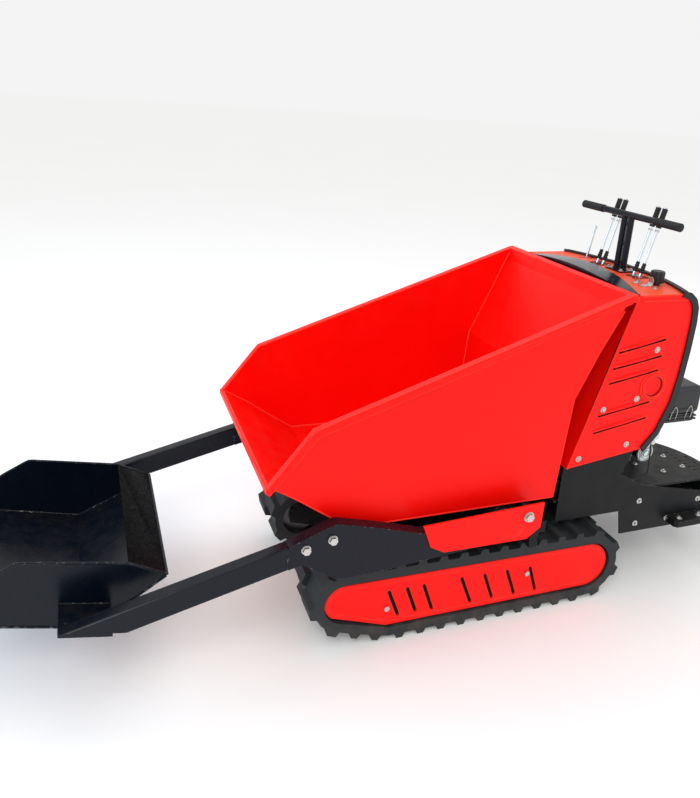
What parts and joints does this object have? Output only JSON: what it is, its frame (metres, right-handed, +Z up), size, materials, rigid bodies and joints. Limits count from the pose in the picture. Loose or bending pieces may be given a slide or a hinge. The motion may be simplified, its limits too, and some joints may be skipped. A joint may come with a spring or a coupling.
{
  "type": "power wheelbarrow",
  "caption": "Tracked power wheelbarrow: forward-tipping skip, front loader arms with a bucket, side-lever console and a fold-up standing platform over rubber tracks.",
  "frame": {"origin": "centre of the machine's box, on the ground under the tracks", "axes": "+X forward towards the bucket, +Y to the operator's left, +Z up"},
  "size_m": [2.786, 0.868, 1.3285],
  "materials": {
    "red_paint": "gloss powder coat",
    "black_paint": "gloss black paint",
    "satin_black": "satin black powder coat",
    "track_rubber": "matt moulded rubber",
    "edge_rubber": "matt extruded rubber",
    "zinc": "zinc plated",
    "steel": "worn bare steel",
    "rod_chrome": "hard chrome",
    "cast_black": "cast, black paint",
    "alu_cast": "as cast",
    "black_plastic": "moulded plastic",
    "gloss_black_plastic": "moulded plastic",
    "grip_rubber": "soft grip"
  },
  "bodies": {
    "machine": {"chassis_frame": "satin_black", "engine_deck": "satin_black", "rear_side_plates": "satin_black", "arm_guard_left": "red_paint", "arm_guard_right": "red_paint", "track_frame_left": "satin_black", "track_frame_right": "satin_black", "track_cover_left": "red_paint", "track_cover_right": "red_paint", "track_belt_left": "track_rubber", "track_belt_right": "track_rubber", "cowl": "red_paint", "cowl_trim": "edge_rubber", "dash_hood": "gloss_black_plastic", "handlebar": "black_paint", "control_valve": "cast_black", "hydraulic_tank": "satin_black", "hydraulic_pump": "alu_cast", "hydraulic_hoses": "edge_rubber", "engine_block": "alu_cast", "engine_cylinder": "alu_cast", "fuel_tank": "black_paint", "recoil_housing": "black_paint", "muffler": "satin_black", "air_cleaner": "black_plastic", "carburettor": "alu_cast", "throttle_cable": "edge_rubber", "drive_motors": "cast_black", "body_fasteners": "zinc"},
    "loader": {"lift_arm_left": "black_paint", "lift_arm_right": "black_paint", "loader_tube_left": "black_paint", "loader_tube_right": "black_paint", "lift_shaft": "steel", "bucket": "black_paint", "bucket_edge": "black_paint", "loader_bolts": "zinc"},
    "lift_ram_barrels": {"lift_barrels": "black_paint"},
    "lift_ram_rods": {"lift_rods": "rod_chrome"},
    "skip": {"skip_body": "red_paint", "skip_pins": "steel"},
    "tip_ram_barrel": {"tip_barrel": "black_paint"},
    "tip_ram_rod": {"tip_rod": "rod_chrome"},
    "platform": {"standing_platform": "satin_black"},
    "sprocket_left": {"sprocket_left": "steel"},
    "sprocket_right": {"sprocket_right": "steel"},
    "idler_left": {"idler_left": "steel"},
    "idler_right": {"idler_right": "steel"},
    "roller_rear_left": {"roller_rear_left": "steel"},
    "roller_rear_right": {"roller_rear_right": "steel"},
    "roller_front_left": {"roller_front_left": "steel"},
    "roller_front_right": {"roller_front_right": "steel"},
    "fuel_cap": {"fuel_cap": "black_plastic"},
    "filler_cap": {"filler_cap": "black_plastic"},
    "recoil_handle": {"recoil_handle": "black_plastic"},
    "lever_lift": {"lever_lift": "rod_chrome"},
    "lever_tip": {"lever_tip": "rod_chrome"},
    "lever_drive_left": {"lever_drive_left": "rod_chrome"},
    "lever_drive_right": {"lever_drive_right": "rod_chrome"},
    "throttle_lever": {"throttle_lever": "rod_chrome"}
  },
  "joints": [
    {"name": "arm_lift", "type": "hinge", "parent": "machine", "child": "loader", "pos_m": [-0.218, 0, 0.382], "axis": [0, -1, 0], "range_deg": [-9, 82]},
    {"name": "lift_ram_swing", "type": "hinge", "parent": "machine", "child": "lift_ram_barrels", "pos_m": [-0.578, 0, 0.215], "axis": [0, -1, 0], "range_deg": [-0.6, 5]},
    {"name": "lift_ram_stroke", "type": "slide", "parent": "lift_ram_barrels", "child": "lift_ram_rods", "axis": [0.972, 0, 0.2349], "range_m": [-0.012, 0.107]},
    {"name": "skip_tip", "type": "hinge", "parent": "machine", "child": "skip", "pos_m": [0.252, 0, 0.4], "axis": [0, 1, 0], "range_deg": [0, 55]},
    {"name": "tip_ram_swing", "type": "hinge", "parent": "machine", "child": "tip_ram_barrel", "pos_m": [-0.088, 0, 0.11], "axis": [0, -1, 0], "range_deg": [-0.1, 0.8]},
    {"name": "tip_ram_stroke", "type": "slide", "parent": "tip_ram_barrel", "child": "tip_ram_rod", "axis": [0.4594, 0, 0.8882], "range_m": [-0.001, 0.178]},
    {"name": "platform_fold", "type": "hinge", "parent": "machine", "child": "platform", "pos_m": [-1.116, 0, 0.262], "axis": [0, 1, 0], "range_deg": [0, 88]},
    {"name": "drive_left", "type": "hinge", "parent": "machine", "child": "sprocket_left", "pos_m": [-0.579, 0.24, 0.136], "axis": [0, 1, 0], "continuous": true},
    {"name": "idler_left_spin", "type": "hinge", "parent": "machine", "child": "idler_left", "pos_m": [0.299, 0.24, 0.165], "axis": [0, 1, 0], "continuous": true},
    {"name": "roller_rear_left_spin", "type": "hinge", "parent": "machine", "child": "roller_rear_left", "pos_m": [-0.348, 0.24, 0.0764], "axis": [0, 1, 0], "continuous": true},
    {"name": "roller_front_left_spin", "type": "hinge", "parent": "machine", "child": "roller_front_left", "pos_m": [-0.048, 0.24, 0.0764], "axis": [0, 1, 0], "continuous": true},
    {"name": "drive_right", "type": "hinge", "parent": "machine", "child": "sprocket_right", "pos_m": [-0.579, -0.24, 0.136], "axis": [0, 1, 0], "continuous": true},
    {"name": "idler_right_spin", "type": "hinge", "parent": "machine", "child": "idler_right", "pos_m": [0.299, -0.24, 0.165], "axis": [0, 1, 0], "continuous": true},
    {"name": "roller_rear_right_spin", "type": "hinge", "parent": "machine", "child": "roller_rear_right", "pos_m": [-0.348, -0.24, 0.0764], "axis": [0, 1, 0], "continuous": true},
    {"name": "roller_front_right_spin", "type": "hinge", "parent": "machine", "child": "roller_front_right", "pos_m": [-0.048, -0.24, 0.0764], "axis": [0, 1, 0], "continuous": true},
    {"name": "lever_lift_move", "type": "hinge", "parent": "machine", "child": "lever_lift", "pos_m": [-0.768, -0.12, 1], "axis": [0, -1, 0], "range_deg": [-3, 10], "stiffness_Nm_per_rad": 3},
    {"name": "lever_tip_move", "type": "hinge", "parent": "machine", "child": "lever_tip", "pos_m": [-0.768, -0.088, 1], "axis": [0, -1, 0], "range_deg": [-3, 10], "stiffness_Nm_per_rad": 3},
    {"name": "lever_drive_left_move", "type": "hinge", "parent": "machine", "child": "lever_drive_left", "pos_m": [-0.768, 0.08, 1], "axis": [0, -1, 0], "range_deg": [-3, 10], "stiffness_Nm_per_rad": 3},
    {"name": "lever_drive_right_move", "type": "hinge", "parent": "machine", "child": "lever_drive_right", "pos_m": [-0.768, 0.112, 1], "axis": [0, -1, 0], "range_deg": [-3, 10], "stiffness_Nm_per_rad": 3},
    {"name": "throttle_set", "type": "hinge", "parent": "machine", "child": "throttle_lever", "pos_m": [-0.795, -0.2, 1.05], "axis": [0, -1, 0], "range_deg": [-12, 8]},
    {"name": "fuel_cap_turn", "type": "hinge", "parent": "machine", "child": "fuel_cap", "pos_m": [-0.838, 0.04, 0.73], "axis": [0, 0, 1], "range_deg": [0, 90]},
    {"name": "filler_cap_turn", "type": "hinge", "parent": "machine", "child": "filler_cap", "pos_m": [-0.779, 0.206, 1.118], "axis": [0, 0, 1], "continuous": true},
    {"name": "recoil_pull", "type": "slide", "parent": "machine", "child": "recoil_handle", "axis": [0, 0, 1], "range_m": [0, 0.02], "stiffness_N_per_m": 300}
  ],
  "couplings": [
    {"joint": "lift_ram_swing", "follows": "arm_lift", "ratio": 0.0586},
    {"joint": "lift_ram_stroke", "follows": "arm_lift", "m_per_rad": 0.0741},
    {"joint": "tip_ram_swing", "follows": "skip_tip", "ratio": 0.0122},
    {"joint": "tip_ram_stroke", "follows": "skip_tip", "m_per_rad": 0.1837},
    {"joint": "idler_left_spin", "follows": "drive_left", "ratio": 1.2754},
    {"joint": "roller_rear_left_spin", "follows": "drive_left", "ratio": 3.0986},
    {"joint": "roller_front_left_spin", "follows": "drive_left", "ratio": 3.0986},
    {"joint": "idler_right_spin", "follows": "drive_right", "ratio": 1.2754},
    {"joint": "roller_rear_right_spin", "follows": "drive_right", "ratio": 3.0986},
    {"joint": "roller_front_right_spin", "follows": "drive_right", "ratio": 3.0986}
  ]
}
